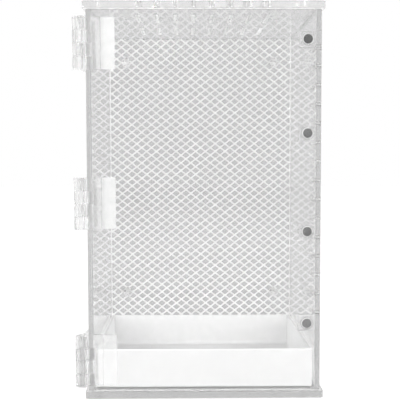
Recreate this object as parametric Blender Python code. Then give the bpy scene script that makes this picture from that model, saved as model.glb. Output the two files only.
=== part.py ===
"""Clear acrylic terrarium for a small climbing reptile, with a side-hinged front door.

Metres, X to the right, Y to the back, Z up. The origin is the centre of the underside
of the base plate. The door turns about the upright axis of its three hinges, at the
left front corner, and the white tray stands loose on the base plate.
"""

import math

import bmesh
import bpy
from mathutils.geometry import delaunay_2d_cdt

# Gaps between pieces
GLUE_GAP = 0.0003  # between faces that are bonded or rest on each other
DOOR_CLEARANCE = 0.0008  # from the door's top and bottom edges to the two plates
PIN_CLEARANCE = 0.0003  # round a hinge pin, and between two knuckles
MAGNET_CLEARANCE = 0.001  # round a magnet in its pocket, for the cement
DOOR_TO_BLOCK = 0.0005  # from the shut door to the magnet blocks behind it

# Cabinet of glued sheets
CABINET_WIDTH = 0.200  # over the side walls
CABINET_DEPTH = 0.204  # from the door's front face to the back wall's rear face
CABINET_HEIGHT = 0.340  # over the base and top plates
PLATE_THICKNESS = 0.006
PLATE_OVERHANG = 0.003  # of both plates past the walls, all round
PLATE_CORNER_RADIUS = 0.004
WALL_THICKNESS = 0.004
DOOR_THICKNESS = 0.004
EDGE_CHAMFER = 0.0005  # on the plates' and the door's polished edges
CORNER_STEPS = 4  # straight pieces in a rounded corner

# Air slots
VENT_WIDTH = 0.003
TOP_VENT_LENGTH = 0.050
TOP_VENT_PITCH = 0.0166
TOP_VENT_MARGIN = 0.041  # least distance from a side wall's outer face to a slot's middle
TOP_VENT_ROWS = 2
TOP_VENT_ROW_GAP = 0.030  # between the ends of the front and the back row
SIDE_VENT_LENGTH = 0.028
SIDE_VENT_PITCH = 0.0164
SIDE_VENT_ABOVE_FLOOR = 0.0672  # from the base plate's top to the lowest slot
SIDE_VENT_UNDER_CEILING = 0.030  # least distance from the top plate to the highest slot
SIDE_VENT_FROM_DOOR = 0.004  # from the door's back face to the slots' front ends
VENT_END_STEPS = 4

# Door magnets, in pockets of the door and of the blocks behind it
MAGNET_DIAMETER = 0.008
MAGNET_SKIN = 0.0007  # of the door left in front of a magnet's pocket
MAGNET_ABOVE_FLOOR = 0.0585  # from the base plate's top to the lowest magnet
MAGNET_UNDER_CEILING = 0.0256
MAGNET_PAIR_PITCH = 0.0797  # between the two upper magnets, and between the two lower ones
MAGNET_CHAMFER = 0.0003
MAGNET_STEPS = 28
BLOCK_SIZE = 0.014  # width and height of a magnet block
BLOCK_DEPTH = 0.006

# Hinges, with two like leaves that interlock
HINGE_LENGTH = 0.044
HINGE_KNUCKLES = 4
HINGE_COUNT = 3
HINGE_ABOVE_FLOOR = 0.006  # from the base plate to the lowest hinge's end
HINGE_UNDER_CEILING = 0.0078
LEAF_LENGTH = 0.0203  # of a leaf's plate, away from the axis
LEAF_ROOT_THICKNESS = 0.0048  # over the panel, at the plate's start
LEAF_TIP_THICKNESS = 0.0028
LEAF_FOLD_GAP = 0.0002  # from the axis to a leaf's outer face, so that leaves fold back to back
LEAF_TO_KNUCKLE = 0.0036  # from a leaf's plate to the other leaf's knuckles
BARREL_TO_CORNER = 0.00135  # from the barrel to the corner of the door
BARREL_STEPS = 32
PIN_RADIUS = 0.002
PIN_CHAMFER = 0.0004
PIN_STEPS = 24
PAD_LENGTH = 0.012  # of the white adhesive pad under the leaf's free end
PAD_THICKNESS = 0.0008

# Climbing mesh on the back wall
MESH_THICKNESS = 0.002
MESH_STRAND = 0.0022
MESH_BORDER = 0.0012
MESH_SIDE_CLEARANCE = 0.0007
MESH_SMALLEST_GAP = 1.5e-5  # area in square metres under which an edge gap is closed
MESH_SNAP = 0.0003  # a gap's corner this near the border is left as it is
MESH_CELL_WIDTH = 0.026  # of a diamond and its strands, fitted to whole cells between rivets
MESH_CELL_HEIGHT = 0.0188
RIVET_FROM_WALL = 0.0175  # from a side wall's inner face to a rivet's middle
RIVET_ABOVE_FLOOR = 0.058
RIVET_UNDER_CEILING = 0.025
RIVET_HEAD_RADIUS = 0.005
RIVET_CROWN_RADIUS = 0.0022  # of the flat on top of the head
RIVET_HEAD_HEIGHT = 0.002
RIVET_BRIM_HEIGHT = 0.0007
RIVET_DOME = 0.7  # share of the head's rise that is done halfway in from the brim
RIVET_SHANK_RADIUS = 0.0017
RIVET_TAIL_RADIUS = 0.0032
RIVET_TAIL_HEIGHT = 0.001
RIVET_CLEARANCE = 0.0003
RIVET_STEPS = 24

# Loose substrate tray
TRAY_SIDE_CLEARANCE = 0.001  # to each side wall
TRAY_TO_BLOCK = 0.0015  # to the backs of the magnet blocks
TRAY_TO_RIVET = 0.0054  # to the heads of the mesh rivets
TRAY_HEIGHT = 0.034
TRAY_WALL = 0.003
TRAY_CORNER_RADIUS = 0.002

# Places that follow from the sizes above
HALF_WIDTH = CABINET_WIDTH / 2
FRONT_Y = -CABINET_DEPTH / 2
BACK_Y = CABINET_DEPTH / 2
DOOR_BACK_Y = FRONT_Y + DOOR_THICKNESS
WALL_FRONT_Y = DOOR_BACK_Y + GLUE_GAP
INNER_X = HALF_WIDTH - WALL_THICKNESS
INNER_BACK_Y = BACK_Y - WALL_THICKNESS
INNER_HALF_WIDTH = INNER_X - GLUE_GAP
FLOOR_Z = PLATE_THICKNESS
CEILING_Z = CABINET_HEIGHT - PLATE_THICKNESS
MIDDLE_Z = CABINET_HEIGHT / 2
WALL_HEIGHT = CEILING_Z - FLOOR_Z - 2 * GLUE_GAP
HINGE_STANDOFF = LEAF_ROOT_THICKNESS + LEAF_FOLD_GAP  # from the panels' faces to the axis
BARREL_RADIUS = HINGE_STANDOFF * math.sqrt(2) - BARREL_TO_CORNER
LEAF_START = BARREL_RADIUS + LEAF_TO_KNUCKLE
LEAF_END = LEAF_START + LEAF_LENGTH
PAD_START = LEAF_END - PAD_LENGTH
AXIS_X = -HALF_WIDTH - HINGE_STANDOFF
AXIS_Y = FRONT_Y - HINGE_STANDOFF
MAGNET_THICKNESS = DOOR_THICKNESS - MAGNET_SKIN - GLUE_GAP
MAGNET_X = INNER_X - GLUE_GAP - BLOCK_SIZE / 2
MAGNET_POCKET_RADIUS = MAGNET_DIAMETER / 2 + MAGNET_CLEARANCE
MAGNET_POCKET_DEPTH = MAGNET_THICKNESS + GLUE_GAP
BLOCK_FRONT_Y = DOOR_BACK_Y + DOOR_TO_BLOCK
BLOCK_BACK_Y = BLOCK_FRONT_Y + BLOCK_DEPTH
MESH_BACK_Y = INNER_BACK_Y - GLUE_GAP
MESH_FRONT_Y = MESH_BACK_Y - MESH_THICKNESS
RIVET_X = INNER_X - RIVET_FROM_WALL
RIVET_LOWER = FLOOR_Z + RIVET_ABOVE_FLOOR
RIVET_UPPER = CEILING_Z - RIVET_UNDER_CEILING
RIVET_FRONT_Y = MESH_FRONT_Y - GLUE_GAP - RIVET_HEAD_HEIGHT
MESH_PITCH_X = 2 * RIVET_X / round(2 * RIVET_X / MESH_CELL_WIDTH)
MESH_PITCH_Z = (RIVET_UPPER - RIVET_LOWER) / round((RIVET_UPPER - RIVET_LOWER) / MESH_CELL_HEIGHT)

# Turns that stand a flat sheet up
FACING_FRONT = (math.pi / 2, 0, 0)  # local Z to -Y
FACING_BACK = (math.pi / 2, 0, math.pi)  # local Z to +Y, local X to -X
FACING_RIGHT = (math.pi / 2, 0, math.pi / 2)  # local X to +Y, local Z to +X
LEAF_ON_WALL = (math.pi, 0, math.pi / 2)  # local X to +Y, local Y to +X

# Angle under which two faces are shaded as one round surface
SMOOTH_BELOW = math.radians(35)

# Distance under which two corners of an outline are one
SAME_POINT = 1e-7


def clear_scene():
    """Remove what the scene holds."""
    for old in list(bpy.data.objects):
        bpy.data.objects.remove(old, do_unlink=True)


def make_material(name, colour, roughness, metallic=0.0, transmission=0.0):
    """Return a Principled material."""
    material = bpy.data.materials.new(name)
    material.use_nodes = True
    shader = material.node_tree.nodes["Principled BSDF"]
    shader.inputs["Base Color"].default_value = (*colour, 1.0)
    shader.inputs["Roughness"].default_value = roughness
    shader.inputs["Metallic"].default_value = metallic
    shader.inputs["Transmission Weight"].default_value = transmission
    material.diffuse_color = (*colour, 1.0)
    return material


def add_object(name, mesh, material, location, rotation=(0, 0, 0), parent=None):
    """Link a mesh, which like pieces share, as a named object."""
    piece = bpy.data.objects.new(name, mesh)
    bpy.context.scene.collection.objects.link(piece)
    piece.location = location
    piece.rotation_euler = rotation
    piece.parent = parent
    if not mesh.materials:
        mesh.materials.append(material)
    return piece


def finish_mesh(bm, name):
    """Turn a closed bmesh into a mesh with its faces pointing out."""
    bmesh.ops.recalc_face_normals(bm, faces=bm.faces[:])
    mesh = bpy.data.meshes.new(name)
    bm.to_mesh(mesh)
    bm.free()
    mesh.shade_smooth()
    mesh.set_sharp_from_angle(angle=SMOOTH_BELOW)
    return mesh


def spread(lowest, highest, count):
    """Return evenly spaced heights, both ends included."""
    return [lowest + (highest - lowest) * index / (count - 1) for index in range(count)]


# Outlines, as lists of (x, y) points that run counter-clockwise


def arc(centre, radius, start, end, steps):
    """Return the points of an arc, both ends included."""
    points = []
    for step in range(steps + 1):
        angle = start + (end - start) * step / steps
        points.append((centre[0] + radius * math.cos(angle), centre[1] + radius * math.sin(angle)))
    return points


def circle(centre, radius, steps):
    """Return the points of a closed circle."""
    return arc(centre, radius, 0.0, 2 * math.pi, steps)[:-1]


def rounded_rectangle(width, height, radius=0.0):
    """Return a rectangle round the origin, with round corners if radius isn't 0."""
    across, up = width / 2 - radius, height / 2 - radius
    corners = [(across, -up), (across, up), (-across, up), (-across, -up)]
    if radius <= 0:
        return corners
    points = []
    for index, corner in enumerate(corners):
        start = math.radians(-90 + 90 * index)
        points += arc(corner, radius, start, start + math.pi / 2, CORNER_STEPS)
    return points


def slot(centre, length, width):
    """Return a slot with round ends that runs along x."""
    reach = length / 2 - width / 2
    right = arc((centre[0] + reach, centre[1]), width / 2, -math.pi / 2, math.pi / 2, VENT_END_STEPS)
    left = arc((centre[0] - reach, centre[1]), width / 2, math.pi / 2, 3 * math.pi / 2, VENT_END_STEPS)
    return right + left


def turned_quarter(points):
    """Return an outline turned by 90 degrees about the origin."""
    return [(-y, x) for x, y in points]


def clipped(points, half_width, half_height):
    """Return the part of a convex outline that lies inside a centred rectangle."""
    for axis, limit in ((0, half_width), (1, half_height)):
        for side in (1, -1):
            rooms = [limit - side * point[axis] for point in points]
            rooms = [0.0 if abs(room) < MESH_SNAP else room for room in rooms]
            kept = []
            for index, here in enumerate(points):
                after = (index + 1) % len(points)
                if rooms[index] >= 0:
                    kept.append(here)
                if rooms[index] * rooms[after] < 0:
                    part = rooms[index] / (rooms[index] - rooms[after])
                    kept.append(tuple(a + (b - a) * part for a, b in zip(here, points[after])))
            points = kept
    return points


def area_of(points):
    """Return the area inside an outline."""
    pairs = zip(points, points[1:] + points[:1])
    return sum(a[0] * b[1] - b[0] * a[1] for a, b in pairs) / 2


# Solids


def ring(bm, points, height):
    """Add the vertices of an outline at one height."""
    return [bm.verts.new((x, y, height)) for x, y in points]


def band(bm, lower, upper):
    """Join two rings of equal length by faces."""
    count = len(lower)
    for index in range(count):
        after = (index + 1) % count
        bm.faces.new((lower[index], lower[after], upper[after], upper[index]))


def cap(bm, rings):
    """Close an outline, the first ring, less the convex holes inside it, by flat triangles."""
    verts, owner, edges = [], [], []
    for number, loop in enumerate(rings):
        first, count = len(verts), len(loop)
        edges += [(first + index, first + (index + 1) % count) for index in range(count)]
        verts += loop
        owner += [number] * count
    inside_outlines = 1
    filled = delaunay_2d_cdt([vert.co.xy for vert in verts], edges, [], inside_outlines, SAME_POINT)
    faces, sources = filled[2], filled[3]
    for face in faces:
        corners = [sources[index][0] for index in face]
        owners = {owner[corner] for corner in corners}
        if len(owners) > 1 or owners == {0}:
            bm.faces.new([verts[corner] for corner in corners])


def sheet(name, width, height, thickness, radius=0.0, chamfer=0.0, holes=(), pockets=()):
    """Return a flat sheet from z = 0 to its thickness.

    Holes go right through. Pockets are (outline, depth) and open at the upper face.
    """
    bm = bmesh.new()
    full = rounded_rectangle(width, height, radius)
    if chamfer > 0:
        small = rounded_rectangle(width - 2 * chamfer, height - 2 * chamfer, max(radius - chamfer, 0.0))
        rims = [(small, 0.0), (full, chamfer), (full, thickness - chamfer), (small, thickness)]
    else:
        rims = [(full, 0.0), (full, thickness)]
    stack = [ring(bm, outline, level) for outline, level in rims]
    for lower, upper in zip(stack, stack[1:]):
        band(bm, lower, upper)
    below, above = [stack[0]], [stack[-1]]
    for outline in holes:
        low, high = ring(bm, outline, 0.0), ring(bm, outline, thickness)
        band(bm, low, high)
        below.append(low)
        above.append(high)
    for outline, depth in pockets:
        low, high = ring(bm, outline, thickness - depth), ring(bm, outline, thickness)
        band(bm, low, high)
        bm.faces.new(low)
        above.append(high)
    cap(bm, below)
    cap(bm, above)
    return finish_mesh(bm, name)


def turned(name, profile, steps):
    """Return a solid turned about Z from (radius, height) points, which start and end at radius 0."""
    bm = bmesh.new()
    rings = [ring(bm, circle((0, 0), radius, steps), height) for radius, height in profile[1:-1]]
    for lower, upper in zip(rings, rings[1:]):
        band(bm, lower, upper)
    bm.faces.new(rings[0])
    bm.faces.new(rings[-1])
    return finish_mesh(bm, name)


def disc_profile(radius, height, chamfer):
    """Return the profile of a disc or pin with chamfered ends."""
    side = [(radius - chamfer, 0), (radius, chamfer), (radius, height - chamfer), (radius - chamfer, height)]
    return [(0, 0), *side, (0, height)]


# Cabinet


def top_vents():
    """Return the outlines of the slots in the top plate, which run front to back."""
    outlines = []
    row_pitch = TOP_VENT_LENGTH + TOP_VENT_ROW_GAP
    columns = 1 + int((CABINET_WIDTH - 2 * TOP_VENT_MARGIN) / TOP_VENT_PITCH)
    for column in range(columns):
        x = (column - (columns - 1) / 2) * TOP_VENT_PITCH
        for row in range(TOP_VENT_ROWS):
            y = (row - (TOP_VENT_ROWS - 1) / 2) * row_pitch
            along_x = slot((y, -x), TOP_VENT_LENGTH, VENT_WIDTH)
            outlines.append(turned_quarter(along_x))
    return outlines


def side_vents(wall_middle_y):
    """Return the outlines of the level slots in the right wall, about the wall's middle."""
    middle = DOOR_BACK_Y + SIDE_VENT_FROM_DOOR + SIDE_VENT_LENGTH / 2 - wall_middle_y
    lowest = FLOOR_Z + SIDE_VENT_ABOVE_FLOOR
    count = 1 + int((CEILING_Z - SIDE_VENT_UNDER_CEILING - lowest) / SIDE_VENT_PITCH)
    heights = [lowest + SIDE_VENT_PITCH * index for index in range(count)]
    return [slot((middle, height - MIDDLE_Z), SIDE_VENT_LENGTH, VENT_WIDTH) for height in heights]


def rivet_places():
    """Return the (x, z) of the four mesh rivets."""
    return [(x, z) for z in (RIVET_UPPER, RIVET_LOWER) for x in (-RIVET_X, RIVET_X)]


def build_cabinet(clear):
    """Build the two plates and the three fixed walls."""
    plate_width = CABINET_WIDTH + 2 * PLATE_OVERHANG
    plate_depth = CABINET_DEPTH + 2 * PLATE_OVERHANG
    shape = (plate_width, plate_depth, PLATE_THICKNESS, PLATE_CORNER_RADIUS, EDGE_CHAMFER)
    add_object("base_plate", sheet("base_plate", *shape), clear, (0, 0, 0))
    top = sheet("top_plate", *shape, holes=top_vents())
    add_object("top_plate", top, clear, (0, 0, CEILING_Z))

    wall_depth = BACK_Y - WALL_FRONT_Y
    wall_y = (BACK_Y + WALL_FRONT_Y) / 2
    left = sheet("left_wall", wall_depth, WALL_HEIGHT, WALL_THICKNESS)
    add_object("left_wall", left, clear, (-HALF_WIDTH, wall_y, MIDDLE_Z), FACING_RIGHT)
    right = sheet("right_wall", wall_depth, WALL_HEIGHT, WALL_THICKNESS, holes=side_vents(wall_y))
    add_object("right_wall", right, clear, (INNER_X, wall_y, MIDDLE_Z), FACING_RIGHT)

    hole_radius = RIVET_SHANK_RADIUS + RIVET_CLEARANCE
    holes = [circle((x, z - MIDDLE_Z), hole_radius, RIVET_STEPS) for x, z in rivet_places()]
    back = sheet("back_wall", 2 * INNER_HALF_WIDTH, WALL_HEIGHT, WALL_THICKNESS, holes=holes)
    add_object("back_wall", back, clear, (0, BACK_Y, MIDDLE_Z), FACING_FRONT)


# Door with its magnets


def magnet_heights():
    """Return the heights of the four magnets, from the lowest up."""
    lowest = FLOOR_Z + MAGNET_ABOVE_FLOOR
    highest = CEILING_Z - MAGNET_UNDER_CEILING
    return [lowest, lowest + MAGNET_PAIR_PITCH, highest - MAGNET_PAIR_PITCH, highest]


def magnet_mesh():
    """Return one disc magnet, from z = 0 to its thickness."""
    profile = disc_profile(MAGNET_DIAMETER / 2, MAGNET_THICKNESS, MAGNET_CHAMFER)
    return turned("magnet", profile, MAGNET_STEPS)


def build_door(clear, steel, disc, door):
    """Build the door panel and the magnets in its back."""
    height = CEILING_Z - FLOOR_Z - 2 * DOOR_CLEARANCE
    pockets = []
    for z in magnet_heights():
        outline = circle((-MAGNET_X, z - MIDDLE_Z), MAGNET_POCKET_RADIUS, MAGNET_STEPS)
        pockets.append((outline, MAGNET_POCKET_DEPTH))
    panel = sheet("door_panel", CABINET_WIDTH, height, DOOR_THICKNESS, chamfer=EDGE_CHAMFER, pockets=pockets)
    place = (-AXIS_X, FRONT_Y - AXIS_Y, MIDDLE_Z)
    add_object("door_panel", panel, clear, place, FACING_BACK, door)
    for index, z in enumerate(magnet_heights(), 1):
        place = (MAGNET_X - AXIS_X, DOOR_BACK_Y - AXIS_Y, z)
        add_object(f"door_magnet_{index}", disc, steel, place, FACING_FRONT, door)


def build_magnet_blocks(clear, steel, disc):
    """Build the clear blocks on the right wall that hold the door's mating magnets."""
    pocket = (circle((0, 0), MAGNET_POCKET_RADIUS, MAGNET_STEPS), MAGNET_POCKET_DEPTH)
    block = sheet("magnet_block", BLOCK_SIZE, BLOCK_SIZE, BLOCK_DEPTH, pockets=[pocket])
    for index, z in enumerate(magnet_heights(), 1):
        add_object(f"magnet_block_{index}", block, clear, (MAGNET_X, BLOCK_BACK_Y, z), FACING_FRONT)
        place = (MAGNET_X, BLOCK_FRONT_Y + MAGNET_THICKNESS, z)
        add_object(f"block_magnet_{index}", disc, steel, place, FACING_FRONT)


# Hinges


def leaf_mesh():
    """Return one hinge leaf, which serves the door as it is and the wall upside down.

    Local x runs from the axis along the panel, local y from the axis to the panel, and
    z from the middle of the hinge. Knuckles stand on the first and third quarter of the
    plate, counted from below.
    """
    back = HINGE_STANDOFF - GLUE_GAP
    recess = back - PAD_THICKNESS - GLUE_GAP
    root = HINGE_STANDOFF - LEAF_ROOT_THICKNESS
    tip = HINGE_STANDOFF - LEAF_TIP_THICKNESS
    plate = [
        (LEAF_START, root),
        (LEAF_END, tip),
        (LEAF_END, recess),
        (PAD_START - GLUE_GAP, recess),
        (PAD_START - GLUE_GAP, back),
        (LEAF_START, back),
    ]
    to_barrel = math.asin(back / BARREL_RADIUS)
    reach = math.hypot(LEAF_START, root)
    tangent = math.atan2(root, LEAF_START) - math.acos(BARREL_RADIUS / reach)
    barrel = arc((0, 0), BARREL_RADIUS, to_barrel, 2 * math.pi + tangent, BARREL_STEPS)
    bore = circle((0, 0), PIN_RADIUS + PIN_CLEARANCE, PIN_STEPS)

    pitch = HINGE_LENGTH / HINGE_KNUCKLES
    bottom = -HINGE_LENGTH / 2
    levels = [bottom]
    for index in range(1, HINGE_KNUCKLES):
        shift = PIN_CLEARANCE / 2 if index % 2 == 0 else -PIN_CLEARANCE / 2
        levels.append(bottom + index * pitch + shift)
    levels.append(-bottom)

    bm = bmesh.new()
    plates = [ring(bm, plate, level) for level in levels]
    for index, (lower, upper) in enumerate(zip(plates, plates[1:])):
        if index % 2 == 1:
            band(bm, lower, upper)
            continue
        for here, there in zip(range(len(plate) - 1), range(1, len(plate))):
            bm.faces.new((lower[here], lower[there], upper[there], upper[here]))
        below, above = levels[index], levels[index + 1]
        knuckle_low = [lower[-1], *ring(bm, barrel, below), lower[0]]
        knuckle_high = [upper[-1], *ring(bm, barrel, above), upper[0]]
        for here, there in zip(range(len(knuckle_low) - 1), range(1, len(knuckle_low))):
            bm.faces.new((knuckle_low[here], knuckle_low[there], knuckle_high[there], knuckle_high[here]))
        bore_low, bore_high = ring(bm, bore, below), ring(bm, bore, above)
        band(bm, bore_low, bore_high)
        cap(bm, [knuckle_low, bore_low])
        cap(bm, [knuckle_high, bore_high])
    bm.faces.new(plates[0])
    bm.faces.new(plates[-1])
    return finish_mesh(bm, "hinge_leaf")


def build_hinges(clear, white, door):
    """Build the three hinges, each of two leaves, a pin and two adhesive pads."""
    leaf = leaf_mesh()
    pin = turned("hinge_pin", disc_profile(PIN_RADIUS, HINGE_LENGTH, PIN_CHAMFER), PIN_STEPS)
    pad = sheet("hinge_pad", PAD_LENGTH, HINGE_LENGTH - 2 * GLUE_GAP, PAD_THICKNESS)
    pad_along = PAD_START + PAD_LENGTH / 2
    pad_back = HINGE_STANDOFF - GLUE_GAP
    lowest = FLOOR_Z + HINGE_ABOVE_FLOOR + HINGE_LENGTH / 2
    highest = CEILING_Z - HINGE_UNDER_CEILING - HINGE_LENGTH / 2
    for number, z in enumerate(spread(lowest, highest, HINGE_COUNT), 1):
        stem = f"hinge_{number}"
        add_object(f"{stem}_door_leaf", leaf, clear, (0, 0, z), (0, 0, 0), door)
        add_object(f"{stem}_wall_leaf", leaf, clear, (AXIS_X, AXIS_Y, z), LEAF_ON_WALL)
        add_object(f"{stem}_pin", pin, clear, (AXIS_X, AXIS_Y, z - HINGE_LENGTH / 2))
        add_object(f"{stem}_door_pad", pad, white, (pad_along, pad_back, z), FACING_FRONT, door)
        wall_pad_place = (AXIS_X + pad_back - PAD_THICKNESS, AXIS_Y + pad_along, z)
        add_object(f"{stem}_wall_pad", pad, white, wall_pad_place, FACING_RIGHT)


# Climbing mesh with its rivets


def mesh_gaps(width, height, middle_z):
    """Return the diamond gaps of the net, about its middle, with a rivet in the middle of a gap."""
    half_x, half_z = MESH_PITCH_X / 2, MESH_PITCH_Z / 2
    to_strand = half_x * half_z / math.hypot(half_x, half_z)
    shrink = 1 - MESH_STRAND / 2 / to_strand
    gap_x, gap_z = half_x * shrink, half_z * shrink
    room_x, room_z = width / 2 - MESH_BORDER, height / 2 - MESH_BORDER
    first_x, first_z = -RIVET_X, RIVET_LOWER - middle_z
    columns, rows = math.ceil(width / half_x), math.ceil(height / half_z)
    gaps = []
    for row in range(-rows, rows + 1):
        for column in range(-columns, columns + 1):
            if (row + column) % 2:
                continue
            x, z = first_x + column * half_x, first_z + row * half_z
            outline = [(x + gap_x, z), (x, z + gap_z), (x - gap_x, z), (x, z - gap_z)]
            outline = clipped(outline, room_x, room_z)
            if len(outline) > 2 and area_of(outline) > MESH_SMALLEST_GAP:
                gaps.append(outline)
    return gaps


def build_climbing_mesh(white, clear):
    """Build the net on the back wall and the snap rivets that hold it."""
    width = 2 * (INNER_X - MESH_SIDE_CLEARANCE)
    gaps = mesh_gaps(width, WALL_HEIGHT, MIDDLE_Z)
    net = sheet("climbing_mesh", width, WALL_HEIGHT, MESH_THICKNESS, holes=gaps)
    add_object("climbing_mesh", net, white, (0, MESH_BACK_Y, MIDDLE_Z), FACING_FRONT)

    neck_top = RIVET_TAIL_HEIGHT + WALL_THICKNESS + MESH_THICKNESS + 3 * GLUE_GAP
    brim = neck_top + RIVET_BRIM_HEIGHT
    crown = neck_top + RIVET_HEAD_HEIGHT
    profile = [
        (0, 0),
        (RIVET_TAIL_RADIUS, 0),
        (RIVET_TAIL_RADIUS, RIVET_TAIL_HEIGHT),
        (RIVET_SHANK_RADIUS, RIVET_TAIL_HEIGHT),
        (RIVET_SHANK_RADIUS, neck_top),
        (RIVET_HEAD_RADIUS, neck_top),
        (RIVET_HEAD_RADIUS, brim),
        ((RIVET_HEAD_RADIUS + RIVET_CROWN_RADIUS) / 2, brim + (crown - brim) * RIVET_DOME),
        (RIVET_CROWN_RADIUS, crown),
        (0, crown),
    ]
    rivet = turned("mesh_rivet", profile, RIVET_STEPS)
    tail_y = BACK_Y + GLUE_GAP + RIVET_TAIL_HEIGHT
    for index, (x, z) in enumerate(rivet_places(), 1):
        add_object(f"mesh_rivet_{index}", rivet, clear, (x, tail_y, z), FACING_FRONT)


# Tray


def build_tray(white):
    """Build the open substrate tray, with its origin at the middle of its underside."""
    width = 2 * (INNER_X - TRAY_SIDE_CLEARANCE)
    front = BLOCK_BACK_Y + TRAY_TO_BLOCK
    back = RIVET_FRONT_Y - TRAY_TO_RIVET
    depth = back - front
    pocket = rounded_rectangle(width - 2 * TRAY_WALL, depth - 2 * TRAY_WALL, TRAY_CORNER_RADIUS / 2)
    tray = sheet(
        "substrate_tray",
        width,
        depth,
        TRAY_HEIGHT,
        TRAY_CORNER_RADIUS,
        EDGE_CHAMFER,
        pockets=[(pocket, TRAY_HEIGHT - TRAY_WALL)],
    )
    add_object("substrate_tray", tray, white, (0, (front + back) / 2, FLOOR_Z + GLUE_GAP))


def main():
    """Build the whole terrarium."""
    clear_scene()
    clear = make_material("clear_acrylic", (0.87, 0.87, 0.87), 0.05, transmission=1.0)
    moulded = make_material("clear_moulded_plastic", (0.85, 0.85, 0.85), 0.12, transmission=1.0)
    white = make_material("white_plastic", (0.92, 0.92, 0.92), 0.35)
    tape = make_material("white_adhesive_pad", (0.95, 0.95, 0.95), 0.6)
    net = make_material("white_mesh_plastic", (0.89, 0.89, 0.89), 0.45)
    steel = make_material("magnet_nickel", (0.24, 0.24, 0.24), 0.3, metallic=1.0)

    door = bpy.data.objects.new("door_axis", None)
    door.location = (AXIS_X, AXIS_Y, 0)
    bpy.context.scene.collection.objects.link(door)

    disc = magnet_mesh()
    build_cabinet(clear)
    build_door(clear, steel, disc, door)
    build_magnet_blocks(clear, steel, disc)
    build_hinges(moulded, tape, door)
    build_climbing_mesh(net, moulded)
    build_tray(white)


main()
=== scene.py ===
"""Looks of the clear acrylic terrarium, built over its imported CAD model.

Metres, X to the right, Y to the back, Z up, as in the model. Each sub-assembly is a class
that makes its pieces and dresses them. A finer piece stays in the box of its CAD node.
"""

import logging
import math
from collections.abc import Callable, Sequence
from dataclasses import dataclass, replace
from enum import Enum, IntEnum
from functools import cache

import bmesh
import bpy
from mathutils import Euler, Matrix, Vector
from mathutils.geometry import delaunay_2d_cdt


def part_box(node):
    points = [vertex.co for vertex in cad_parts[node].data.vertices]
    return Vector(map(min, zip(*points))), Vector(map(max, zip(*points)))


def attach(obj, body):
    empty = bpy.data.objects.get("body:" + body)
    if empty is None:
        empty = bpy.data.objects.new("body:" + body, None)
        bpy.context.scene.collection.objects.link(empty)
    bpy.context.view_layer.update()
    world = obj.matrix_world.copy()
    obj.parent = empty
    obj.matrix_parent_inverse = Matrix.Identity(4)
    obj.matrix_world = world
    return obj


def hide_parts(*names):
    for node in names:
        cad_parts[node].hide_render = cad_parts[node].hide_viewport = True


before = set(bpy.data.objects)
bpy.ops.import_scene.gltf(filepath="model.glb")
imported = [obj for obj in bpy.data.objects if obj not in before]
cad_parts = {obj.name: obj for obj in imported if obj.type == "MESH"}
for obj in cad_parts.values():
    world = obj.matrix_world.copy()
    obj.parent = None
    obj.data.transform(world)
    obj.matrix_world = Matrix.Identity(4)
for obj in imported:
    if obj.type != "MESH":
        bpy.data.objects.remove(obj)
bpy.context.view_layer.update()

log = logging.getLogger("terrarium")

Point = tuple[float, float]
Corner = tuple[float, int]  # a radius, and how many straight pieces make up a quarter turn
Place = tuple[float, float, float]
Ring = list[bmesh.types.BMVert]
Piece = bpy.types.Object
Mesh = bpy.types.Mesh
Material = bpy.types.Material
Socket = bpy.types.NodeSocket

SUPPORT = 0.00025  # width of the narrow faces that keep a flat face flat beside a round one
SUPPORTED = 4 * SUPPORT  # a longer straight gets such a face at both ends
SAME_POINT = 1e-7
SMALLEST_RADIUS = 2e-5
SHARP_ABOVE = math.radians(40)
CORNERS = ((1, -1), (1, 1), (-1, 1), (-1, -1))  # of a rectangle, counter-clockwise
RIVET_PLACES = ((-0.0785, 0.309), (0.0785, 0.309), (-0.0785, 0.064), (0.0785, 0.064))  # (x, z)


class Facing(Enum):
    """How a flat form's own axes are turned: the way that its local Z looks."""

    UP = (0.0, 0.0, 0.0)
    FRONT = (math.pi / 2, 0.0, 0.0)
    BACK = (math.pi / 2, 0.0, math.pi)
    RIGHT = (math.pi / 2, 0.0, math.pi / 2)
    LEAF_ON_WALL = (math.pi, 0.0, math.pi / 2)


class Body(str, Enum):
    """The bodies of the model that pieces ride on."""

    CABINET = "cabinet"
    DOOR = "door"
    TRAY = "tray"


class Slot(str, Enum):
    """The material slots of the model's record."""

    ACRYLIC = "clear_acrylic"
    MOULDED = "clear_moulded_plastic"
    WHITE = "white_plastic"
    TAPE = "white_adhesive_pad"
    NET = "white_mesh_plastic"
    NICKEL = "magnet_nickel"


class Look(IntEnum):
    """Which of its piece's finishes a face wears."""

    MAIN = 0
    RIM = 1  # also a hinge's barrels and the tray's inside
    HOLE = 2


# Finishes

IOR = 1.49  # of acrylic
TINTS = 9.0  # per metre, like all the scales below
WAVES = 14.0
SCRATCHES = (900.0, 2.0, (1.0, 0.03, 1.0))  # scale, detail and stretch of their noise
SCRATCHED = (0.66, 0.74)  # the noise values between which a scratch sinks in
SMUDGED = (0.35, 0.75)  # and those between which a sheet gets rougher
SCUFFS = (500.0, 2.0, (0.05, 1.0, 1.0))
SCUFFED = (0.64, 0.74)
CLOUDED = (0.3, 0.7)
GRAINS_IN_CLOUD = 12
DARK_END_TONE = -1.6  # past a tape's darkest grey, at its darker end


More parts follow.
